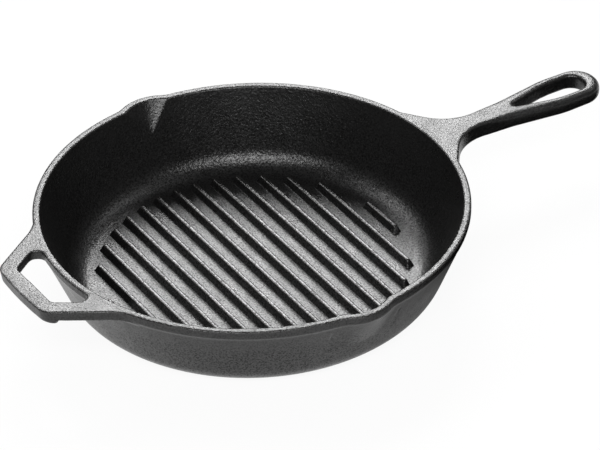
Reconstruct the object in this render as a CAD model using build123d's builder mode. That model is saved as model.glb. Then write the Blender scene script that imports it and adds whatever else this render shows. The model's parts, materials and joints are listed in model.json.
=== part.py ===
from build123d import *
import os
from math import atan2, cos, degrees, hypot, radians, sin, sqrt, tan

# Round grill pan of cast iron. The real pan is one casting without a joint; it is divided here
# at its natural seams, and neighbouring pieces meet face to face.
# The pan stands on z = 0 with its axis on Z. The long handle points along +X, the short grip
# along -X, and the two pour spouts along +Y and -Y. Lengths are in millimetres, angles in degrees.

# Bowl
RIM_DIAMETER = 260.4
PAN_HEIGHT = 52.8
RIM_LAND = 4.35
FLOOR_THICKNESS = 4.3
WALL_LEAN = 21.7
BORE_LEAN = 20.2
BASE_CORNER_RADIUS = 21.4
COVE_RADIUS = 17.0
BAND_HEIGHT = 5.5
BAND_STEP = 0.8
RIM_OUTER_EDGE = 0.5
RIM_INNER_EDGE = 0.9
FLOOR_SEAM_SETBACK = 0.4

# Grill ribs
RIBS_EACH_SIDE = 7
RIB_HEIGHT = 4.5
RIB_CREST_WIDTH = 2.4
RIB_BASE_WIDTH = 5.9
RIB_END_SLOPE = 2.3
RIB_END_SETBACK = 3.35
RIB_CORNER_RADIUS = 0.9
RIB_CREST_EDGE = 0.45
RIB_SHORTEST = 31.07

# Pour spouts
SPOUT_REACH = 4.3
SPOUT_LOBE_RADIUS = 26.8
SPOUT_BLEND_RADIUS = 20.0
SPOUT_FADE_HEIGHT = 27.8
SPOUT_SIDE_ANGLE = 2.0
SCOOP_DEPTH = 19.0
SCOOP_HALF_ANGLE = 51.6
SCOOP_OVERRUN_SHARE = 2.0

# Long handle
HANDLE_LENGTH = 119.5
HANDLE_DEPTH = 10.8
LOOP_LENGTH_SHARE = 0.77
WEB_WIDTH = 64.8
WEB_EDGE_ANGLE = 53.6
WEB_BLEND_RADIUS = 24.0
NECK_RADIUS = 30.0
FLANK_ANGLE = 8.5
LOOP_WIDTH = 30.0
LOOP_END_WIDTH = 28.4
LOOP_SHOULDER_SETBACK = 32.0
LOOP_SHOULDER_RADIUS = 60.0
LOOP_END_RADIUS = 14.0
WEB_EDGE = 1.2
LOOP_EDGE = 4.0

# Hanging hole in the handle
HOLE_WIDTH = 17.0
HOLE_END_WALL = 9.2
HOLE_SHOULDER_SETBACK = 24.3
HOLE_TIP_RADIUS = 2.0
HOLE_SHOULDER_RADIUS = 60.0
HOLE_END_RADIUS = 8.3
HOLE_EDGE = 1.6

# Short grip
GRIP_TURN = 0.8
GRIP_REACH = 28.8
GRIP_BAR_BOW = 1.4
GRIP_BAR_WIDTH = 10.7
GRIP_BAR_DEPTH = 9.2
GRIP_ARM_DEPTH = 6.4
GRIP_ARM_ANGLE = 33.6
GRIP_BAR_LENGTH = 52.6
GRIP_CORNER_RADIUS = 10.0
GRIP_BLEND_RADIUS = 36.0
GRIP_SEAM_SETBACK = 5.0
SLOT_LENGTH = 39.8
SLOT_SIDE_ANGLE = 35.0
SLOT_BAR_RADIUS = 4.5
SLOT_RIM_RADIUS = 5.6
GRIP_TOP_EDGE = 0.5
GRIP_LIP_CORNER = 3.0
GRIP_LIP_EDGE = 2.2

# How far the hollow arcs of the web and the grip run into the rim, so that their tips have body
BLEND_SINK = 0.6

# Values that follow from the driving dimensions
RIM_RADIUS = RIM_DIAMETER / 2
BORE_RADIUS = RIM_RADIUS - RIM_LAND
HIDDEN_RADIUS = BORE_RADIUS - 2 * RIM_LAND
BAND_BOTTOM = PAN_HEIGHT - BAND_HEIGHT
STEP_LOW = BAND_BOTTOM - BAND_STEP
STEP_HIGH = BAND_BOTTOM + BAND_STEP


def wall_outer(z):
    """Outer radius of the leaning wall at height z."""
    return RIM_RADIUS - BAND_STEP - (BAND_BOTTOM - z) * tan(radians(WALL_LEAN))


def wall_inner(z):
    """Inner radius of the leaning wall at height z."""
    return BORE_RADIUS - (PAN_HEIGHT - z) * tan(radians(BORE_LEAN))


def corner_length(radius, lean):
    """Length of a level line that the round corner up into a leaning wall takes away."""
    return radius * tan(radians(90 - lean) / 2)


def on_circle(centre, radius, angle):
    """Point of a circle in plan, at an angle in degrees."""
    return (centre[0] + radius * cos(radians(angle)), centre[1] + radius * sin(radians(angle)))


def plan_angle(start, end):
    """Angle in degrees of the direction from one plan point to another."""
    return degrees(atan2(end[1] - start[1], end[0] - start[0]))


def mirrored(points):
    """Half an outline on the +Y side, then the same points in reverse order on the -Y side."""
    return points + [(x, -y) for x, y in reversed(points)]


BASE_CORNER = wall_outer(0)
FLOOR_CORNER = wall_inner(FLOOR_THICKNESS)
BASE_FLAT = BASE_CORNER - corner_length(BASE_CORNER_RADIUS, WALL_LEAN)
FLOOR_FLAT = FLOOR_CORNER - corner_length(COVE_RADIUS, BORE_LEAN)
FLOOR_SEAM = min(BASE_FLAT, FLOOR_FLAT) - FLOOR_SEAM_SETBACK

# Plan of a pour spout: a lobe circle outside the rim, run into the rim by two hollow arcs
LOBE_CENTRE = (0, RIM_RADIUS + SPOUT_REACH - SPOUT_LOBE_RADIUS)
RIM_TO_BLEND = RIM_RADIUS + SPOUT_BLEND_RADIUS
LOBE_TO_BLEND = SPOUT_LOBE_RADIUS + SPOUT_BLEND_RADIUS
BLEND_Y = (RIM_TO_BLEND**2 - LOBE_TO_BLEND**2 + LOBE_CENTRE[1] ** 2) / (2 * LOBE_CENTRE[1])
BLEND_CENTRE = (sqrt(RIM_TO_BLEND**2 - BLEND_Y**2), BLEND_Y)
BLEND_ANGLE = plan_angle((0, 0), BLEND_CENTRE)
LOBE_ANGLE = plan_angle(LOBE_CENTRE, BLEND_CENTRE)
SPOUT_START = BLEND_ANGLE - SPOUT_SIDE_ANGLE
SPOUT_BOTTOM = PAN_HEIGHT - SPOUT_FADE_HEIGHT
SPOUT_BACK = wall_inner(SPOUT_BOTTOM) - RIM_LAND

os.makedirs("parts", exist_ok=True)


# Floor: a flat disc that ends where the wall's round corner begins
with BuildPart() as pan_floor:
    Cylinder(FLOOR_SEAM, FLOOR_THICKNESS, align=(Align.CENTER, Align.CENTER, Align.MIN))
pan_floor.part.label = "pan_floor"
export_step(pan_floor.part, "parts/pan_floor.step")


# Side wall: floor corner and leaning wall, with a notch under each spout
with BuildPart() as side_wall:
    with BuildSketch(Plane.XZ) as wall_section:
        with BuildLine():
            Polyline(
                (FLOOR_SEAM, 0),
                (BASE_CORNER, 0),
                (wall_outer(STEP_LOW), STEP_LOW),
                (wall_inner(STEP_LOW), STEP_LOW),
                (FLOOR_CORNER, FLOOR_THICKNESS),
                (FLOOR_SEAM, FLOOR_THICKNESS),
                close=True,
            )
        make_face()
        fillet(wall_section.vertices().sort_by_distance((BASE_CORNER, 0))[0], BASE_CORNER_RADIUS)
        fillet(wall_section.vertices().sort_by_distance((FLOOR_CORNER, FLOOR_THICKNESS))[0], COVE_RADIUS)
    revolve(axis=Axis.Z)
    with BuildSketch(Plane.XY.offset(SPOUT_BOTTOM)):
        for side in (1, -1):
            notch_start = on_circle((0, 0), RIM_DIAMETER, side * SPOUT_START)
            notch_end = on_circle((0, 0), RIM_DIAMETER, side * (180 - SPOUT_START))
            Polygon((0, 0), notch_start, notch_end, align=None)
    extrude(amount=PAN_HEIGHT, mode=Mode.SUBTRACT)
side_wall.part.label = "side_wall"
export_step(side_wall.part, "parts/side_wall.step")


# Rim: two arcs between the spouts, with a sloping step, an upright band and a level land
for name, start_angle in (("rim_handle_side", -SPOUT_START), ("rim_grip_side", 180 - SPOUT_START)):
    with BuildPart() as rim_arc:
        with BuildSketch(Plane.XZ.rotated((0, 0, start_angle))) as rim_section:
            with BuildLine():
                Polyline(
                    (wall_inner(STEP_LOW), STEP_LOW),
                    (wall_outer(STEP_LOW), STEP_LOW),
                    (RIM_RADIUS, STEP_HIGH),
                    (RIM_RADIUS, PAN_HEIGHT),
                    (BORE_RADIUS, PAN_HEIGHT),
                    close=True,
                )
            make_face()
            fillet(rim_section.vertices().sort_by_distance((RIM_RADIUS, PAN_HEIGHT))[0], RIM_OUTER_EDGE)
            fillet(rim_section.vertices().sort_by_distance((BORE_RADIUS, PAN_HEIGHT))[0], RIM_INNER_EDGE)
        revolve(axis=Axis.Z, revolution_arc=2 * SPOUT_START)
    rim_arc.part.label = name
    export_step(rim_arc.part, f"parts/{name}.step")


def spout_section(inset, lobed):
    """Plan section of a spout block: the rim's outline moved in by the inset, with or without the
    lobe, closed by two radial sides and a chord inside the bowl."""
    rim = RIM_RADIUS - inset
    blend = SPOUT_BLEND_RADIUS + inset
    other_blend = (-BLEND_CENTRE[0], BLEND_CENTRE[1])
    if lobed:
        arcs = [
            ((0, 0), rim, SPOUT_START, BLEND_ANGLE),
            (BLEND_CENTRE, blend, BLEND_ANGLE + 180, LOBE_ANGLE + 180),
            (LOBE_CENTRE, SPOUT_LOBE_RADIUS - inset, LOBE_ANGLE, 180 - LOBE_ANGLE),
            (other_blend, blend, -LOBE_ANGLE, -BLEND_ANGLE),
            ((0, 0), rim, 180 - BLEND_ANGLE, 180 - SPOUT_START),
        ]
    else:
        lobe_end = plan_angle((0, 0), on_circle(LOBE_CENTRE, SPOUT_LOBE_RADIUS, LOBE_ANGLE))
        marks = [SPOUT_START, BLEND_ANGLE, lobe_end]
        marks += [180 - mark for mark in reversed(marks)]
        arcs = [((0, 0), rim, low, high) for low, high in zip(marks, marks[1:])]
    with BuildLine() as outline:
        for centre, radius, first, last in arcs:
            ThreePointArc(*[on_circle(centre, radius, a) for a in (first, (first + last) / 2, last)])
        Polyline(
            on_circle((0, 0), rim, 180 - SPOUT_START),
            on_circle((0, 0), SPOUT_BACK, 180 - SPOUT_START),
            on_circle((0, 0), SPOUT_BACK, SPOUT_START),
            on_circle((0, 0), rim, SPOUT_START),
        )
    make_face(outline.edges())


# Pour spout: a lobed block of rim and wall, with the bore and a conical scoop cut out of it
SCOOP_POINT = (wall_inner(PAN_HEIGHT - SCOOP_DEPTH), PAN_HEIGHT - SCOOP_DEPTH)
LIP_POINT = (RIM_RADIUS + SPOUT_REACH - RIM_LAND, PAN_HEIGHT)
LIP_ANGLE = plan_angle(SCOOP_POINT, LIP_POINT)
SCOOP_AXIS_ANGLE = LIP_ANGLE + SCOOP_HALF_ANGLE
SCOOP_SIDE = SCOOP_OVERRUN_SHARE * hypot(LIP_POINT[0] - SCOOP_POINT[0], SCOOP_DEPTH)
SCOOP_AXIS_LENGTH = SCOOP_SIDE * cos(radians(SCOOP_HALF_ANGLE))
SCOOP_DIRECTION = (0, cos(radians(SCOOP_AXIS_ANGLE)), sin(radians(SCOOP_AXIS_ANGLE)))

with BuildPart() as pour_spout_back:
    with BuildSketch(Plane.XY.offset(SPOUT_BOTTOM)):
        spout_section(RIM_RADIUS - wall_outer(SPOUT_BOTTOM), False)
    with BuildSketch(Plane.XY.offset(STEP_LOW)):
        spout_section(RIM_RADIUS - wall_outer(STEP_LOW), True)
    with BuildSketch(Plane.XY.offset(STEP_HIGH)):
        spout_section(0, True)
    with BuildSketch(Plane.XY.offset(PAN_HEIGHT)):
        spout_section(0, True)
    loft(ruled=True)
    fillet(pour_spout_back.edges().group_by(Axis.Z)[-1].filter_by(GeomType.CIRCLE), RIM_OUTER_EDGE)
    with Locations((0, 0, SPOUT_BOTTOM)):
        Cone(
            wall_inner(SPOUT_BOTTOM),
            BORE_RADIUS,
            SPOUT_FADE_HEIGHT,
            align=(Align.CENTER, Align.CENTER, Align.MIN),
            mode=Mode.SUBTRACT,
        )
    with BuildSketch(Plane.YZ):
        Polygon(
            SCOOP_POINT,
            on_circle(SCOOP_POINT, SCOOP_SIDE, LIP_ANGLE),
            on_circle(SCOOP_POINT, SCOOP_AXIS_LENGTH, SCOOP_AXIS_ANGLE),
            align=None,
        )
    revolve(axis=Axis((0, *SCOOP_POINT), SCOOP_DIRECTION), mode=Mode.SUBTRACT)
pour_spout_back.part.label = "pour_spout_back"
export_step(pour_spout_back.part, "parts/pour_spout_back.step")

with BuildPart() as pour_spout_front:
    mirror(pour_spout_back.part, about=Plane.XZ)
pour_spout_front.part.label = "pour_spout_front"
export_step(pour_spout_front.part, "parts/pour_spout_front.step")


# Grill ribs: parallel bars across the floor, square at both ends, ending on one circle
RIB_CIRCLE = FLOOR_FLAT - RIB_END_SETBACK
RIB_PITCH = sqrt(RIB_CIRCLE**2 - (RIB_SHORTEST / 2) ** 2) / RIBS_EACH_SIDE
RIB_BASE_RADIUS = RIB_CORNER_RADIUS + (RIB_BASE_WIDTH - RIB_CREST_WIDTH) / 4

for number in range(-RIBS_EACH_SIDE, RIBS_EACH_SIDE + 1):
    rib_x = number * RIB_PITCH
    crest_length = 2 * sqrt(RIB_CIRCLE**2 - rib_x**2)
    name = f"grill_rib_{number + RIBS_EACH_SIDE + 1:02d}"
    with BuildPart() as rib:
        with BuildSketch(Plane.XY.offset(FLOOR_THICKNESS)):
            with Locations((rib_x, 0)):
                RectangleRounded(RIB_BASE_WIDTH, crest_length + 2 * RIB_END_SLOPE, RIB_BASE_RADIUS)
        with BuildSketch(Plane.XY.offset(FLOOR_THICKNESS + RIB_HEIGHT)):
            with Locations((rib_x, 0)):
                RectangleRounded(RIB_CREST_WIDTH, crest_length, RIB_CORNER_RADIUS)
        loft(ruled=True)
        chamfer(rib.edges().group_by(Axis.Z)[-1], RIB_CREST_EDGE)
    rib.part.label = name
    export_step(rib.part, f"parts/{name}.step")


# Outer form of the bowl, which the handle and the grip are cut to, raised over the rim's land
RIM_EDGE_CENTRE = (RIM_RADIUS - RIM_OUTER_EDGE, PAN_HEIGHT - RIM_OUTER_EDGE)

with BuildPart() as bowl_form:
    with BuildSketch(Plane.XZ):
        with BuildLine():
            Polyline(
                (RIM_EDGE_CENTRE[0], PAN_HEIGHT),
                (RIM_EDGE_CENTRE[0], PAN_HEIGHT + BAND_HEIGHT),
                (0, PAN_HEIGHT + BAND_HEIGHT),
                (0, 0),
                (BASE_CORNER, 0),
                (wall_outer(STEP_LOW), STEP_LOW),
                (RIM_RADIUS, STEP_HIGH),
                (RIM_RADIUS, RIM_EDGE_CENTRE[1]),
            )
            ThreePointArc(*[on_circle(RIM_EDGE_CENTRE, RIM_OUTER_EDGE, a) for a in (0, 45, 90)])
        make_face()
    revolve(axis=Axis.Z)


def outside_rim(edge):
    """True for an edge that lies on the part of an arm or web outside the bowl."""
    middle = edge.center()
    return hypot(middle.X, middle.Y) > BORE_RADIUS


def rim_blend(point, slope_angle, radius, side):
    """Hollow arc from the rim into the straight edge through a plan point on the +Y side.

    The edge falls towards the X axis at the slope angle as it runs outwards. The arc is on its far
    side from the X axis where side is 1, and on its near side where side is -1.
    Gives the touching point on the rim, the middle of the arc and the touching point on the edge."""
    along = (cos(radians(slope_angle)), -sin(radians(slope_angle)))
    away = (-side * along[1], side * along[0])
    offset_point = (point[0] + radius * away[0], point[1] + radius * away[1])
    lead = offset_point[0] * along[0] + offset_point[1] * along[1]
    rim = RIM_RADIUS - BLEND_SINK
    level = (rim + radius) ** 2 - offset_point[0] ** 2 - offset_point[1] ** 2
    step = sqrt(lead**2 + level) - lead
    centre = (offset_point[0] + step * along[0], offset_point[1] + step * along[1])
    on_edge = (point[0] + step * along[0], point[1] + step * along[1])
    on_rim = on_circle((0, 0), rim, plan_angle((0, 0), centre))
    towards_rim = plan_angle(centre, (0, 0)) % 360
    towards_edge = plan_angle(centre, on_edge) % 360
    return on_rim, on_circle(centre, radius, (towards_rim + towards_edge) / 2), on_edge


# Plan of the long handle: the web leans in from the rim, turns at the neck and spreads to the loop
HANDLE_TIP = RIM_RADIUS + HANDLE_LENGTH
HANDLE_BOTTOM = PAN_HEIGHT - HANDLE_DEPTH
LOOP_SHOULDER = (HANDLE_TIP - LOOP_SHOULDER_SETBACK, LOOP_WIDTH / 2)
LOOP_CORNER = (HANDLE_TIP, LOOP_END_WIDTH / 2)
WEB_ROOT = (sqrt(RIM_RADIUS**2 - (WEB_WIDTH / 2) ** 2), WEB_WIDTH / 2)
WEB_SLOPE = tan(radians(WEB_EDGE_ANGLE))
FLANK_SLOPE = tan(radians(FLANK_ANGLE))
NECK_RISE = WEB_ROOT[1] + WEB_SLOPE * WEB_ROOT[0] - LOOP_SHOULDER[1] + FLANK_SLOPE * LOOP_SHOULDER[0]
NECK_CORNER_X = NECK_RISE / (WEB_SLOPE + FLANK_SLOPE)
NECK_TANGENT = NECK_RADIUS * tan(radians(WEB_EDGE_ANGLE + FLANK_ANGLE) / 2)
NECK_SEAM = NECK_CORNER_X + NECK_TANGENT * cos(radians(FLANK_ANGLE))
HOLE_END = HANDLE_TIP - HOLE_END_WALL
LOOP_SEAM = HOLE_END - LOOP_LENGTH_SHARE * (HOLE_END - NECK_SEAM)
HOLE_TIP = LOOP_SEAM


def flank(x):
    """Point of the handle's straight flank at x."""
    return (x, LOOP_SHOULDER[1] - FLANK_SLOPE * (LOOP_SHOULDER[0] - x))


NECK_CORNER = flank(NECK_CORNER_X)
WEB_HIDDEN = (HIDDEN_RADIUS, WEB_ROOT[1] + WEB_SLOPE * (WEB_ROOT[0] - HIDDEN_RADIUS))

# Web: the flared root of the handle, run into the band by two hollow arcs
with BuildPart() as handle_web:
    with BuildSketch(Plane.XY.offset(HANDLE_BOTTOM)) as web_plan:
        Polygon(*mirrored([WEB_HIDDEN, WEB_ROOT, NECK_CORNER, flank(LOOP_SEAM)]), align=None)
        for side in (1, -1):
            neck = (NECK_CORNER[0], side * NECK_CORNER[1])
            fillet(web_plan.vertices().sort_by_distance(neck)[0], NECK_RADIUS)
    extrude(amount=HANDLE_DEPTH)
    with BuildSketch(Plane.XY.offset(BAND_BOTTOM)):
        on_rim, arc_middle, on_edge = rim_blend(WEB_ROOT, WEB_EDGE_ANGLE, WEB_BLEND_RADIUS, 1)
        inside_rim = on_circle((0, 0), HIDDEN_RADIUS, plan_angle((0, 0), on_rim))
        with BuildLine():
            ThreePointArc(on_rim, arc_middle, on_edge)
            Polyline(on_edge, WEB_ROOT, inside_rim, on_rim)
        make_face()
        mirror(about=Plane.XZ)
    extrude(amount=BAND_HEIGHT)
    split(bisect_by=Plane.YZ.offset(NECK_SEAM), keep=Keep.BOTTOM)
    web_edges = handle_web.edges().filter_by(outside_rim).filter_by(GeomType.LINE, reverse=True)
    fillet(web_edges.group_by(Axis.Z)[-1] + web_edges.group_by(Axis.Z)[0], WEB_EDGE)
    add(bowl_form.part, mode=Mode.SUBTRACT)
handle_web.part.label = "handle_web"
export_step(handle_web.part, "parts/handle_web.step")


# Shank: the narrow stretch between web and loop, whose edges grow softer towards the loop
with BuildPart() as handle_shank:
    for section_x, edge_radius in ((NECK_SEAM, WEB_EDGE), (LOOP_SEAM, LOOP_EDGE)):
        with BuildSketch(Plane.YZ.offset(section_x)):
            with Locations((0, PAN_HEIGHT - HANDLE_DEPTH / 2)):
                RectangleRounded(2 * flank(section_x)[1], HANDLE_DEPTH, edge_radius)
    loft(ruled=True)
handle_shank.part.label = "handle_shank"
export_step(handle_shank.part, "parts/handle_shank.step")

# Loop: the wide end of the handle round its teardrop hanging hole
HOLE_SHOULDER = (HOLE_END - HOLE_SHOULDER_SETBACK, HOLE_WIDTH / 2)
HOLE_CORNER = (HOLE_END, HOLE_WIDTH / 2)


def on_hole(edge):
    """True for an edge on the rim of the hanging hole."""
    box = edge.bounding_box()
    return box.min.X > HOLE_TIP and box.max.X < HOLE_END + HOLE_EDGE and abs(box.center().Y) < HOLE_WIDTH / 2


with BuildPart() as handle_loop:
    with BuildSketch(Plane.XY.offset(HANDLE_BOTTOM)) as loop_plan:
        Polygon(*mirrored([flank(LOOP_SEAM), LOOP_SHOULDER, LOOP_CORNER]), align=None)
        fillet(loop_plan.vertices().group_by(Axis.X)[1], LOOP_SHOULDER_RADIUS)
        fillet(loop_plan.vertices().group_by(Axis.X)[-1], LOOP_END_RADIUS)
    extrude(amount=HANDLE_DEPTH)
    loop_edges = handle_loop.edges().filter_by(lambda edge: edge.center().X > LOOP_SEAM)
    fillet(loop_edges.group_by(Axis.Z)[-1] + loop_edges.group_by(Axis.Z)[0], LOOP_EDGE)
    with BuildSketch(Plane.XY.offset(HANDLE_BOTTOM)) as hole_plan:
        Polygon((HOLE_TIP, 0), *mirrored([HOLE_SHOULDER, HOLE_CORNER]), align=None)
        fillet(hole_plan.vertices().group_by(Axis.X)[1], HOLE_SHOULDER_RADIUS)
        fillet(hole_plan.vertices().group_by(Axis.X)[-1], HOLE_END_RADIUS)
        fillet(hole_plan.vertices().group_by(Axis.X)[0], HOLE_TIP_RADIUS)
    extrude(amount=HANDLE_DEPTH, mode=Mode.SUBTRACT)
    hole_edges = handle_loop.edges().filter_by(on_hole)
    fillet(hole_edges.group_by(Axis.Z)[-1] + hole_edges.group_by(Axis.Z)[0], HOLE_EDGE)
handle_loop.part.label = "handle_loop"
export_step(handle_loop.part, "parts/handle_loop.step")


# Plan of the short grip, drawn with x outwards from the pan and turned into place as a whole
GRIP_PLANE = Plane.XY.rotated((0, 0, 180 + GRIP_TURN))
GRIP_END = RIM_RADIUS + GRIP_REACH
GRIP_CORNER = (GRIP_END - GRIP_BAR_BOW, GRIP_BAR_LENGTH / 2)
BAR_INNER = GRIP_END - GRIP_BAR_WIDTH
GRIP_SEAM = BAR_INNER - GRIP_SEAM_SETBACK
SLOT_CORNER = (BAR_INNER, SLOT_LENGTH / 2)


def sloping(point, slope_angle, x):
    """Point at x of the straight edge that falls through a plan point at the slope angle."""
    return (x, point[1] - tan(radians(slope_angle)) * (x - point[0]))


OUTER_END = sloping(GRIP_CORNER, GRIP_ARM_ANGLE, GRIP_SEAM)
INNER_END = sloping(SLOT_CORNER, SLOT_SIDE_ANGLE, GRIP_SEAM)


def bar_outline():
    """Bowed outer side of the bar with its rounded corners, closed along the seam to the arms."""
    far_corner, far_end = (GRIP_CORNER[0], -GRIP_CORNER[1]), (OUTER_END[0], -OUTER_END[1])
    with BuildLine() as outline:
        ThreePointArc(GRIP_CORNER, (GRIP_END, 0), far_corner)
        Polyline(far_corner, far_end, OUTER_END, GRIP_CORNER)
    bar_face = make_face(outline.edges())
    corners = bar_face.vertices().sort_by_distance(GRIP_CORNER)[:1]
    corners += bar_face.vertices().sort_by_distance(far_corner)[:1]
    fillet(corners, GRIP_CORNER_RADIUS)


# Grip bar: the outer bar with the roots of both arms, deeper under the bar itself
with BuildPart() as grip_bar:
    with BuildSketch(GRIP_PLANE.offset(PAN_HEIGHT - GRIP_ARM_DEPTH)):
        bar_outline()
    extrude(amount=GRIP_ARM_DEPTH)
    with BuildSketch(GRIP_PLANE.offset(PAN_HEIGHT - GRIP_BAR_DEPTH)) as lip_plan:
        bar_outline()
        with Locations((BAR_INNER, 0)):
            Rectangle(GRIP_REACH, RIM_DIAMETER, align=(Align.MIN, Align.CENTER), mode=Mode.INTERSECT)
        fillet(lip_plan.vertices().group_by(Axis.X)[0], GRIP_LIP_CORNER)
    extrude(amount=GRIP_BAR_DEPTH)
    with BuildSketch(GRIP_PLANE.offset(PAN_HEIGHT - GRIP_BAR_DEPTH)) as slot_plan:
        Polygon(*mirrored([INNER_END, SLOT_CORNER]), align=None)
        fillet(slot_plan.vertices().group_by(Axis.X)[-1], SLOT_BAR_RADIUS)
    extrude(amount=GRIP_BAR_DEPTH, mode=Mode.SUBTRACT)
    top_edges = grip_bar.edges().group_by(Axis.Z)[-1]
    seam_edges = top_edges.group_by(GRIP_PLANE.location.x_axis)[0]
    fillet(top_edges - seam_edges, GRIP_TOP_EDGE)
    fillet(grip_bar.edges().group_by(Axis.Z)[0], GRIP_LIP_EDGE)
grip_bar.part.label = "grip_bar"
export_step(grip_bar.part, "parts/grip_bar.step")


def across(point, side):
    """The plan point itself, or its image on the other side of the grip's middle line."""
    return (point[0], side * point[1])


# Grip arms: one on each side of the slot, run into the rim by hollow arcs on both their sides
outer_blend = rim_blend(GRIP_CORNER, GRIP_ARM_ANGLE, GRIP_BLEND_RADIUS, 1)
inner_blend = rim_blend(SLOT_CORNER, SLOT_SIDE_ANGLE, SLOT_RIM_RADIUS, -1)
outer_hidden = on_circle((0, 0), HIDDEN_RADIUS, plan_angle((0, 0), outer_blend[0]))
inner_hidden = on_circle((0, 0), HIDDEN_RADIUS, plan_angle((0, 0), inner_blend[0]))
straight_run = [outer_blend[2], OUTER_END, INNER_END, inner_blend[2]]
hidden_run = [inner_blend[0], inner_hidden, outer_hidden, outer_blend[0]]

for name, side in (("grip_arm_front", 1), ("grip_arm_back", -1)):
    with BuildPart() as grip_arm:
        with BuildSketch(GRIP_PLANE.offset(PAN_HEIGHT - GRIP_ARM_DEPTH)):
            with BuildLine():
                ThreePointArc(*[across(point, side) for point in outer_blend])
                Polyline(*[across(point, side) for point in straight_run])
                ThreePointArc(*[across(point, side) for point in inner_blend])
                Polyline(*[across(point, side) for point in hidden_run])
            make_face()
        extrude(amount=GRIP_ARM_DEPTH)
        top_edges = grip_arm.edges().filter_by(outside_rim).group_by(Axis.Z)[-1]
        seam_edges = top_edges.group_by(GRIP_PLANE.location.x_axis)[-1]
        fillet(top_edges - seam_edges, GRIP_TOP_EDGE)
        add(bowl_form.part, mode=Mode.SUBTRACT)
    grip_arm.part.label = name
    export_step(grip_arm.part, f"parts/{name}.step")
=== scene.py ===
import json
from math import atan2, cos, pi, radians, sin, tan

import bmesh
import bpy
import numpy as np
from mathutils import Matrix, Vector
from mathutils.bvhtree import BVHTree

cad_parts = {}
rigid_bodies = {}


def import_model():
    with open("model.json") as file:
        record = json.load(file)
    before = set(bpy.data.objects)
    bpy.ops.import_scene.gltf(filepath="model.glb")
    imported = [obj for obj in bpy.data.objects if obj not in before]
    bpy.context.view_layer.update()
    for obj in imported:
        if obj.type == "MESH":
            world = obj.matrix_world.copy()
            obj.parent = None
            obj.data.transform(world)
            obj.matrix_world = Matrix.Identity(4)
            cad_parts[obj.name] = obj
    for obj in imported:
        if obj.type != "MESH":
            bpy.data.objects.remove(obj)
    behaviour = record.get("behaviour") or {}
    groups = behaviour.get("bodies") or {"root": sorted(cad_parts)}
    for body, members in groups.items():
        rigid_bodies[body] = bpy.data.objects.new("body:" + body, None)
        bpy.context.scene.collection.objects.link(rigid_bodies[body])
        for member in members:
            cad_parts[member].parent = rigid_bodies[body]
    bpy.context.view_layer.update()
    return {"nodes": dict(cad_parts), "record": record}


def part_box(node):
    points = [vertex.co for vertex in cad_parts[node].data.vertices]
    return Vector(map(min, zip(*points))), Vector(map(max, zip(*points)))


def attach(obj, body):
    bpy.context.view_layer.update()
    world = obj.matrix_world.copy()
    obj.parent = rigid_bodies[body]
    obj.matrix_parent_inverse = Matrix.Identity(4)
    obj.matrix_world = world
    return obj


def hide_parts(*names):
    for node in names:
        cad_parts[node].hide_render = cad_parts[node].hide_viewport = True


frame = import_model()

# Round grill pan of cast iron on a white floor.
# Lengths are in metres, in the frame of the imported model: the pan stands on z = 0 with its axis on
# Z, the long handle points along +X and the pour spouts along +Y and -Y.

SLOTS = {part["node"]: part["material_slot"] for part in frame["record"]["subparts"]}
RIM_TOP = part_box("rim_grip_side")[1][2]

# Camera, as fitted to the photograph: it looks at the middle of the rim from the front left
CAMERA_AZIMUTH = radians(-31.133)
CAMERA_ELEVATION = radians(35.045)
CAMERA_ROLL = radians(-1.561)
CAMERA_DISTANCE = 2.22326
CAMERA_SIDE = 0.02865
CAMERA_RISE = -0.013946
LENS = 224.95
SENSOR = 36.0

# Soft boxes: azimuth and elevation in degrees, width, height and radiance. The first one stands
# behind the pan, where the level faces mirror it, and the others are dim and light up the cove
LAMP_DISTANCE = 4.0
SOFTBOXES = {
    "softbox_back": (58.9, 36, 1.5, 1.5, 14),
    "softbox_front": (-122, 47, 3.4, 1.2, 8.5),
    "softbox_right": (0, 46, 2.0, 1.0, 2),
    "softbox_left": (108, 42, 2.8, 0.9, 4.5),
}
AMBIENT = 0.1

# Floor: half its side, its paint, and the strength and share of the white that the eye sees on it
FLOOR_REACH = 14.0
FLOOR_COLOR = (0.9, 0.9, 0.9, 1)
FLOOR_WHITE = 1.01
FLOOR_WHITE_SHARE = 0.92

# Card of painted reflection that lies by the handle and shows only in reflections, where its black
# end paints a dark reflection into the handle's near side: its two corners, its height over the
# floor, and the stretch of x in which it fades from almost white to black
CARD_LOW = (-0.02, -0.35)
CARD_HIGH = (0.5, 0.0)
CARD_LEVEL = 0.001
CARD_FADE = (-0.02, 0.12)
CARD_WHITE = 0.97

# Irons: heights of the pebbles and of the grit, and the lowest and highest roughness
IRONS = {
    "bowl_iron": (0.0003, 0.00014, 0.27, 0.34),
    "rib_iron": (0.0002, 0.00012, 0.25, 0.31),
    "handle_iron": (0.00022, 0.00012, 0.29, 0.36),
}

# Noises of the iron: features in a metre, octaves and roughness
PEBBLES = (600, 2, 0.55)
GRIT = (1500, 2, 0.7)
BLOTCHES = (60, 4, 0.6)
PITS = (950, 2, 0.6)

# Ramps of the iron, each from a low and a high value to what they give: strength of the grain by
# the normal's Z and by height, dullness of the pits and their share by height, painted shade that
# turns the shine down on faces that lean down, by the normal's Z, and the pale tint of the grit and
# of worn edges
GRAIN_BY_FACING = (-0.35, 0, 0.25, 1)
GRAIN_BY_LEVEL = (0.012, 0.03, 0.85, 1)
PIT_DULLNESS = (0.38, 0.56, -0.7, 0)
PITS_BY_LEVEL = (0.03, 0.045, 1, 0.5)
PAINTED_SHADE_BY_FACING = (-0.3, 0.3, 0.55, 1)
GRIT_TINT = (0.35, 0.65, 0, 1)
WEAR_TINT = (0.2, 1, 0, 0.7)

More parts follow.
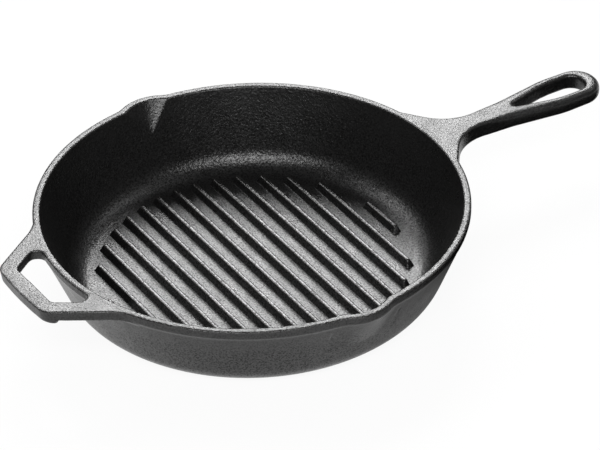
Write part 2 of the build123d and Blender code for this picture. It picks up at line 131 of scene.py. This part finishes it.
# The rest of the iron: range of the blotches that spans the roughness, how much smoother a worn
# edge is, specular level between the pits, and the colours
BLOTCH_RANGE = (0.35, 0.65)
WEAR_POLISH = 0.08
SHINE = 0.87
DARK_IRON = (0.0015, 0.0015, 0.0017, 1)
PALE_IRON = (0.011, 0.0107, 0.0103, 1)
WORN_IRON = (0.03, 0.029, 0.028, 1)

# Ribs: how much narrower and shorter each side is at the crest, corner radius at the foot, how
# fast it shrinks and its largest share of the half width, radii of the foot's hollow and of the
# crest's edge, depth under the floor, and steps in each rounding
RIB_SIDE_SLOPE = 0.00175
RIB_END_SLOPE = 0.0023
RIB_CORNER = 0.001775
RIB_CORNER_SHRINK = 0.5
RIB_CORNER_SHARE = 0.95
RIB_FOOT_RADIUS = 0.0004
RIB_CREST_RADIUS = 0.00115
RIB_SUNK = 0.0006
ARC_STEPS = 6

# Skin of the casting: fineness of its mesh, the share of faces that is kept, and the share of the
# way to its neighbours' mean that a vertex goes in each round of smoothing
SKIN_VOXEL = 0.0007
KEPT_SHARE = 0.25
STEP = 0.5

# Filling of the hollow corners: rounds, rounds for each fresh set of normals, and the pull out of
# the iron at which a vertex moves in full
FILL_ROUNDS = 14
FILL_ROUNDS_PER_NORMALS = 4
FILL_PULL = 0.00003

# Smoothing: rounds for all of the skin, for the wall's outside between levels of z, on faces that
# lean down by more than a normal's Z, and for the handle, over a stretch of x, which then swells
# to make up for what it lost
SMOOTH_ROUNDS = 2
WALL_ROUNDS = 24
WALL_LEVELS = (0.008, 0.014, 0.034, 0.039)
WALL_FACING = -0.2
HANDLE_ROUNDS = 12
HANDLE_RANGE = (0.15, 0.18)
HANDLE_SWELL = 0.0002

# Grip bar: lean of its outer face, as a share of the depth under the rim, and the stretch of x in
# which it fades
GRIP_LEAN = 0.17
GRIP_LEAN_RANGE = (-0.156, -0.146)

# Wear: rounds that spread it, and the bulge of an edge that is worn in full
WEAR_ROUNDS = 4
WEAR_BULGE = 0.00008


def camera_axes():
    """Right, up and back directions of the photograph's camera."""
    back = Vector((
        sin(CAMERA_AZIMUTH) * cos(CAMERA_ELEVATION),
        -cos(CAMERA_AZIMUTH) * cos(CAMERA_ELEVATION),
        sin(CAMERA_ELEVATION),
    ))
    right = Vector((cos(CAMERA_AZIMUTH), sin(CAMERA_AZIMUTH), 0))
    up = back.cross(right)
    c, s = cos(CAMERA_ROLL), sin(CAMERA_ROLL)
    return c * right + s * up, c * up - s * right, back


def add_camera():
    """Adds the camera and makes it the scene's."""
    right, up, back = camera_axes()
    data = bpy.data.cameras.new("camera")
    data.lens = LENS
    data.sensor_width = SENSOR
    camera = bpy.data.objects.new("camera", data)
    target = Vector((0, 0, RIM_TOP))
    place = target + right * CAMERA_SIDE + up * CAMERA_RISE + back * CAMERA_DISTANCE
    turn = Matrix((right, up, back)).transposed().to_4x4()
    camera.matrix_world = Matrix.Translation(place) @ turn
    bpy.context.scene.collection.objects.link(camera)
    bpy.context.scene.camera = camera


def add_softbox(name, azimuth, elevation, width, height, radiance):
    """Adds a soft box that faces the pan."""
    data = bpy.data.lights.new(name, "AREA")
    data.shape = "RECTANGLE"
    data.size = width
    data.size_y = height
    data.energy = radiance * pi * width * height
    lamp = bpy.data.objects.new(name, data)
    azimuth, elevation = radians(azimuth), radians(elevation)
    way = Vector((cos(azimuth) * cos(elevation), sin(azimuth) * cos(elevation), sin(elevation)))
    lamp.location = way * LAMP_DISTANCE
    lamp.rotation_euler = way.to_track_quat("Z", "Y").to_euler()
    lamp.visible_camera = False
    bpy.context.scene.collection.objects.link(lamp)


def node_tree(owner):
    """Empties the owner's shader nodes and returns its node tree."""
    owner.use_nodes = True
    owner.node_tree.nodes.clear()
    return owner.node_tree


def combine(tree, operation, first, second):
    """Adds a math node between two values, the second of which may be a number."""
    node = tree.nodes.new("ShaderNodeMath")
    node.operation = operation
    tree.links.new(first, node.inputs[0])
    if isinstance(second, (int, float)):
        node.inputs[1].default_value = second
    else:
        tree.links.new(second, node.inputs[1])
    return node.outputs[0]


def ramp(tree, value, low, high, low_out, high_out):
    """Maps a value from one range to another, and holds it at the ends."""
    node = tree.nodes.new("ShaderNodeMapRange")
    node.inputs["From Min"].default_value = low
    node.inputs["From Max"].default_value = high
    node.inputs["To Min"].default_value = low_out
    node.inputs["To Max"].default_value = high_out
    tree.links.new(value, node.inputs["Value"])
    return node.outputs["Result"]


def noise(tree, vector, scale, detail, roughness):
    """Adds a noise texture of features about 1 / scale metres wide and gives its value."""
    node = tree.nodes.new("ShaderNodeTexNoise")
    node.inputs["Scale"].default_value = scale
    node.inputs["Detail"].default_value = detail
    node.inputs["Roughness"].default_value = roughness
    tree.links.new(vector, node.inputs["Vector"])
    return node.outputs["Fac"]


def bump(tree, height, distance, normal=None):
    """Adds a bump node, on top of another where one is given, and gives its normal."""
    node = tree.nodes.new("ShaderNodeBump")
    node.inputs["Strength"].default_value = 1
    node.inputs["Distance"].default_value = distance
    tree.links.new(height, node.inputs["Height"])
    if normal:
        tree.links.new(normal, node.inputs["Normal"])
    return node.outputs["Normal"]


def mix_color(tree, factor, first, second):
    """Mixes two colours, each a plain colour or another node's output, by a factor."""
    node = tree.nodes.new("ShaderNodeMix")
    node.data_type = "RGBA"
    tree.links.new(factor, node.inputs["Factor"])
    for name, value in (("A", first), ("B", second)):
        if isinstance(value, tuple):
            node.inputs[name].default_value = value
        else:
            tree.links.new(value, node.inputs[name])
    return node.outputs["Result"]


def coordinates(tree, vector):
    """Splits a vector and gives its X, Y and Z."""
    node = tree.nodes.new("ShaderNodeSeparateXYZ")
    tree.links.new(vector, node.inputs[0])
    return node.outputs


def show(tree, shader):
    """Makes a shader the surface of its material."""
    output = tree.nodes.new("ShaderNodeOutputMaterial")
    tree.links.new(shader.outputs[0], output.inputs["Surface"])


def seen_directly(tree):
    """Factor that is 1 for camera, glossy and transmission rays and 0 for the others."""
    path = tree.nodes.new("ShaderNodeLightPath").outputs
    direct = combine(tree, "MAXIMUM", path["Is Camera Ray"], path["Is Glossy Ray"])
    return combine(tree, "MAXIMUM", direct, path["Is Transmission Ray"])


def set_world():
    """Plain dim studio surroundings."""
    world = bpy.data.worlds.new("studio")
    bpy.context.scene.world = world
    tree = node_tree(world)
    background = tree.nodes.new("ShaderNodeBackground")
    background.inputs["Color"].default_value = (1, 1, 1, 1)
    background.inputs["Strength"].default_value = AMBIENT
    output = tree.nodes.new("ShaderNodeOutputWorld")
    tree.links.new(background.outputs[0], output.inputs["Surface"])


def add_rectangle(name, low, high, level):
    """Adds a level rectangle, and gives it with the empty node tree of its material."""
    mesh = bpy.data.meshes.new(name)
    (x0, y0), (x1, y1) = low, high
    corners = [(x0, y0, level), (x1, y0, level), (x1, y1, level), (x0, y1, level)]
    mesh.from_pydata(corners, [], [(0, 1, 2, 3)])
    material = bpy.data.materials.new(name)
    mesh.materials.append(material)
    rectangle = bpy.data.objects.new(name, mesh)
    bpy.context.scene.collection.objects.link(rectangle)
    return rectangle, node_tree(material)


def add_floor():
    """Adds the pale floor, white to the eye and in reflections, that keeps the soft shadow."""
    corner = (FLOOR_REACH, FLOOR_REACH)
    floor, tree = add_rectangle("floor", (-FLOOR_REACH, -FLOOR_REACH), corner, 0)
    diffuse = tree.nodes.new("ShaderNodeBsdfDiffuse")
    diffuse.inputs["Color"].default_value = FLOOR_COLOR
    white = tree.nodes.new("ShaderNodeEmission")
    white.inputs["Color"].default_value = (1, 1, 1, 1)
    white.inputs["Strength"].default_value = FLOOR_WHITE
    mix = tree.nodes.new("ShaderNodeMixShader")
    share = combine(tree, "MULTIPLY", seen_directly(tree), FLOOR_WHITE_SHARE)
    tree.links.new(share, mix.inputs[0])
    tree.links.new(diffuse.outputs[0], mix.inputs[1])
    tree.links.new(white.outputs[0], mix.inputs[2])
    show(tree, mix)


def add_painted_reflection_card():
    """Adds the emitting card, seen only in reflections, whose black end paints a dark reflection
    into the handle's near side.
    """
    painted_reflection_card, tree = add_rectangle("painted_reflection_card", CARD_LOW, CARD_HIGH, CARD_LEVEL)
    paint = tree.nodes.new("ShaderNodeEmission")
    place = coordinates(tree, tree.nodes.new("ShaderNodeTexCoord").outputs["Object"])
    fade = ramp(tree, place["X"], *CARD_FADE, CARD_WHITE, 0)
    tree.links.new(fade, paint.inputs["Strength"])
    show(tree, paint)
    painted_reflection_card.visible_camera = False
    painted_reflection_card.visible_diffuse = False
    painted_reflection_card.visible_shadow = False


def iron_material(name, pebble_height, grit_height, low_rough, high_rough):
    """Seasoned cast iron: near black, with a pebbled grain, fine grit, dull pits and blotches.

    The grain fades on faces that lean down, which the mould leaves smoother, and their shine is
    turned down there as painted shade.
    """
    material = bpy.data.materials.new(name)
    tree = node_tree(material)
    shader = tree.nodes.new("ShaderNodeBsdfPrincipled")
    show(tree, shader)
    place = tree.nodes.new("ShaderNodeTexCoord").outputs["Object"]
    level = coordinates(tree, place)["Z"]
    normal = tree.nodes.new("ShaderNodeNewGeometry").outputs["Normal"]
    facing = coordinates(tree, normal)["Z"]
    wear_node = tree.nodes.new("ShaderNodeAttribute")
    wear_node.attribute_name = "wear"
    wear = wear_node.outputs["Fac"]

    # Relief
    grit = noise(tree, place, *GRIT)
    by_facing = ramp(tree, facing, *GRAIN_BY_FACING)
    by_level = ramp(tree, level, *GRAIN_BY_LEVEL)
    grain = combine(tree, "MULTIPLY", by_facing, by_level)
    pebble_relief = combine(tree, "MULTIPLY", noise(tree, place, *PEBBLES), grain)
    grit_relief = combine(tree, "MULTIPLY", grit, grain)
    pebbled = bump(tree, pebble_relief, pebble_height)
    tree.links.new(bump(tree, grit_relief, grit_height, pebbled), shader.inputs["Normal"])

    # Roughness
    blotches = noise(tree, place, *BLOTCHES)
    rough = ramp(tree, blotches, *BLOTCH_RANGE, low_rough, high_rough)
    polish = combine(tree, "MULTIPLY", wear, WEAR_POLISH)
    tree.links.new(combine(tree, "SUBTRACT", rough, polish), shader.inputs["Roughness"])

    # Shine, which the pits lack, turned down by the normal's Z as painted shade on faces that lean
    # down
    pits = ramp(tree, noise(tree, place, *PITS), *PIT_DULLNESS)
    pits = combine(tree, "MULTIPLY", pits, ramp(tree, level, *PITS_BY_LEVEL))
    shine_and_painted_shade = combine(tree, "ADD", pits, SHINE)
    shine_and_painted_shade = combine(tree, "MULTIPLY", shine_and_painted_shade, ramp(tree, facing, *PAINTED_SHADE_BY_FACING))
    tree.links.new(shine_and_painted_shade, shader.inputs["Specular IOR Level"])

    # Colour
    color = mix_color(tree, ramp(tree, grit, *GRIT_TINT), DARK_IRON, PALE_IRON)
    color = mix_color(tree, ramp(tree, wear, *WEAR_TINT), color, WORN_IRON)
    tree.links.new(color, shader.inputs["Base Color"])
    return material


def joined_nodes(nodes):
    """One bmesh of all the nodes' surfaces, and the node's number for each of its faces."""
    joined = bmesh.new()
    owner = []
    for number, node in enumerate(nodes):
        joined.from_mesh(bpy.data.objects[node].data)
        owner += [number] * (len(joined.faces) - len(owner))
    return joined, owner


def with_modifier(mesh, kind, **settings):
    """New mesh made from another by one modifier."""
    carrier = bpy.data.objects.new("carrier", mesh)
    bpy.context.scene.collection.objects.link(carrier)
    modifier = carrier.modifiers.new(kind, kind)
    for key, value in settings.items():
        setattr(modifier, key, value)
    graph = bpy.context.evaluated_depsgraph_get()
    result = bpy.data.meshes.new_from_object(carrier.evaluated_get(graph))
    bpy.data.objects.remove(carrier)
    bpy.data.meshes.remove(mesh)
    return result


def vectors(collection, name):
    """Reads a vector property of all items of a mesh collection as rows of an array."""
    values = np.empty(len(collection) * 3)
    collection.foreach_get(name, values)
    return values.reshape(-1, 3)


def moved_normals(mesh, points):
    """Moves the mesh's vertices to the points and gives their new normals."""
    mesh.vertices.foreach_set("co", points.ravel())
    mesh.update()
    return vectors(mesh.vertex_normals, "vector")


def neighbour_mean(values, edges, degree):
    """Mean of the neighbours' values at each vertex."""
    total = np.bincount(edges[:, 0], values[edges[:, 1]], len(values))
    total += np.bincount(edges[:, 1], values[edges[:, 0]], len(values))
    return total / degree


def neighbour_pull(points, edges, degree):
    """Vector from each vertex to the mean of its neighbours."""
    pull = np.empty_like(points)
    for axis in range(3):
        value = points[:, axis]
        pull[:, axis] = neighbour_mean(value, edges, degree) - value
    return pull


def smooth_skin(mesh):
    """Fills the hollow corners as a casting's are, softens the rest, and marks the worn edges."""
    edges = np.empty(len(mesh.edges) * 2, np.int64)
    mesh.edges.foreach_get("vertices", edges)
    edges = edges.reshape(-1, 2)
    points = vectors(mesh.vertices, "co")
    degree = np.bincount(edges.ravel(), minlength=len(points))

    # Hollow corners
    for number in range(FILL_ROUNDS):
        if number % FILL_ROUNDS_PER_NORMALS == 0:
            normals = moved_normals(mesh, points)
        pull = neighbour_pull(points, edges, degree)
        hollow = np.clip((pull * normals).sum(1) / FILL_PULL, 0, 1)
        points += STEP * hollow[:, None] * pull

    # All of the skin, the wall's outside and the handle
    for number in range(SMOOTH_ROUNDS):
        points += STEP * neighbour_pull(points, edges, degree)
    outside = np.interp(points[:, 2], WALL_LEVELS, (0, 1, 1, 0)) * (normals[:, 2] < WALL_FACING)
    for number in range(WALL_ROUNDS):
        points += STEP * outside[:, None] * neighbour_pull(points, edges, degree)
    handle = np.interp(points[:, 0], HANDLE_RANGE, (0, 1))[:, None]
    for number in range(HANDLE_ROUNDS):
        points += STEP * handle * neighbour_pull(points, edges, degree)
    points[:, :2] += HANDLE_SWELL * handle * normals[:, :2]

    # Lean of the grip bar's outer face
    outer = np.interp(points[:, 0], GRIP_LEAN_RANGE, (1, 0))
    points[:, 0] += GRIP_LEAN * outer * (RIM_TOP - points[:, 2])

    # Wear, where the skin bulges
    normals = moved_normals(mesh, points)
    bulge = -(neighbour_pull(points, edges, degree) * normals).sum(1)
    for number in range(WEAR_ROUNDS):
        bulge = (1 - STEP) * bulge + STEP * neighbour_mean(bulge, edges, degree)
    wear = mesh.attributes.new("wear", "FLOAT", "POINT")
    wear.data.foreach_set("value", np.clip(bulge / WEAR_BULGE, 0, 1).astype(np.float32))


def weighted_normals(points, triangles):
    """Normal of each vertex, in which large faces count for more, so that flat faces look flat."""
    corner = points[triangles]
    face = np.cross(corner[:, 1] - corner[:, 0], corner[:, 2] - corner[:, 0])
    normals = np.zeros_like(points)
    for number in range(3):
        for axis in range(3):
            normals[:, axis] += np.bincount(triangles[:, number], face[:, axis], len(points))
    return normals / np.linalg.norm(normals, axis=1, keepdims=True)


def add_piece(node, points, faces, normals, wear, irons):
    """Makes the visible piece of one node, with its material slot from the record."""
    slot = SLOTS[node]
    mesh = bpy.data.meshes.new(node + "_skin")
    mesh.from_pydata(points.tolist(), [], faces)
    mesh.polygons.foreach_set("use_smooth", [True] * len(faces))
    mesh.normals_split_custom_set_from_vertices(normals.tolist())
    attribute = mesh.attributes.new("wear", "FLOAT", "POINT")
    attribute.data.foreach_set("value", wear.astype(np.float32))
    mesh.materials.append(irons[slot])
    piece = bpy.data.objects.new(node + "_skin", mesh)
    bpy.context.scene.collection.objects.link(piece)
    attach(piece, "root")
    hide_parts(node)


def add_skin(irons):
    """Replaces the nodes by one seamless skin, cut at the nodes' seams into a piece for each."""
    nodes = [node for node in frame["nodes"] if "rib" not in node]
    joined, owner = joined_nodes(nodes)
    solid = bpy.data.meshes.new("casting")
    joined.to_mesh(solid)
    nearest = BVHTree.FromBMesh(joined)
    joined.free()
    skin = with_modifier(solid, "REMESH", mode="VOXEL", voxel_size=SKIN_VOXEL)
    smooth_skin(skin)
    skin = with_modifier(skin, "DECIMATE", ratio=KEPT_SHARE)
    points = vectors(skin.vertices, "co")
    wear = np.empty(len(points), np.float32)
    skin.attributes["wear"].data.foreach_get("value", wear)
    skin.calc_loop_triangles()
    triangles = np.empty(len(skin.loop_triangles) * 3, np.int64)
    skin.loop_triangles.foreach_get("vertices", triangles)
    triangles = triangles.reshape(-1, 3)
    bpy.data.meshes.remove(skin)
    normals = weighted_normals(points, triangles)
    middles = points[triangles].mean(1).tolist()
    owners = np.array([owner[nearest.find_nearest(middle)[2]] for middle in middles])
    for number, node in enumerate(nodes):
        used, faces = np.unique(triangles[owners == number], return_inverse=True)
        faces = faces.reshape(-1, 3).tolist()
        add_piece(node, points[used], faces, normals[used], wear[used], irons)


def rib_profile(height):
    """Outline of a rib's side: steps inwards and up, and how much of the crest's wear each has."""
    slope = atan2(height, RIB_SIDE_SLOPE)
    reach = tan(slope / 2)
    steps = [(-RIB_FOOT_RADIUS * reach, -RIB_SUNK, 0)]
    for number in range(ARC_STEPS + 1):
        turn = slope * number / ARC_STEPS
        inset = RIB_FOOT_RADIUS * (sin(turn) - reach)
        steps.append((inset, RIB_FOOT_RADIUS * (1 - cos(turn)), 0))
    start = RIB_SIDE_SLOPE - RIB_CREST_RADIUS * reach * cos(slope)
    foot = height - RIB_CREST_RADIUS * reach * sin(slope)
    for number in range(ARC_STEPS + 1):
        turn = slope * (1 - number / ARC_STEPS)
        inset = start + RIB_CREST_RADIUS * (sin(slope) - sin(turn))
        lift = foot + RIB_CREST_RADIUS * (cos(turn) - cos(slope))
        steps.append((inset, lift, sin(pi * number / ARC_STEPS)))
    return steps


def rounded_ring(center, half_x, half_y, radius, z):
    """Points round a rectangle with round corners."""
    ring = []
    for quarter in range(4):
        sign_x = (1, -1, -1, 1)[quarter]
        sign_y = (1, 1, -1, -1)[quarter]
        for number in range(ARC_STEPS + 1):
            turn = pi / 2 * (quarter + number / ARC_STEPS)
            x = center[0] + sign_x * (half_x - radius) + radius * cos(turn)
            y = center[1] + sign_y * (half_y - radius) + radius * sin(turn)
            ring.append((x, y, z))
    return ring


def add_rib(node, irons):
    """Replaces a rib by one with a soft foot and a rounded crest, of the same size."""
    low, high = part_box(node)
    center = [(low[axis] + high[axis]) / 2 for axis in range(2)]
    half = [(high[axis] - low[axis]) / 2 for axis in range(2)]
    points, wear = [], []
    for inset, lift, worn in rib_profile(high[2] - low[2]):
        half_x = half[0] - inset
        half_y = half[1] - inset * RIB_END_SLOPE / RIB_SIDE_SLOPE
        radius = min(RIB_CORNER - RIB_CORNER_SHRINK * inset, RIB_CORNER_SHARE * half_x)
        ring = rounded_ring(center, half_x, half_y, radius, low[2] + lift)
        points += ring
        wear += [worn] * len(ring)
    size = len(ring)
    faces = []
    for start in range(0, len(points) - size, size):
        for number in range(size):
            a = start + number
            b = start + (number + 1) % size
            faces += [(a, b, b + size), (a, b + size, a + size)]
    top = len(points) - size
    faces += [(top, top + number, top + number + 1) for number in range(1, size - 1)]
    points = np.array(points)
    normals = weighted_normals(points, np.array(faces))
    add_piece(node, points, faces, normals, np.array(wear), irons)


bpy.context.scene.view_settings.view_transform = "Standard"
add_camera()
for name, settings in SOFTBOXES.items():
    add_softbox(name, *settings)
set_world()
add_floor()
add_painted_reflection_card()
irons = {name: iron_material(name, *settings) for name, settings in IRONS.items()}
add_skin(irons)
for node in frame["nodes"]:
    if "rib" in node:
        add_rib(node, irons)
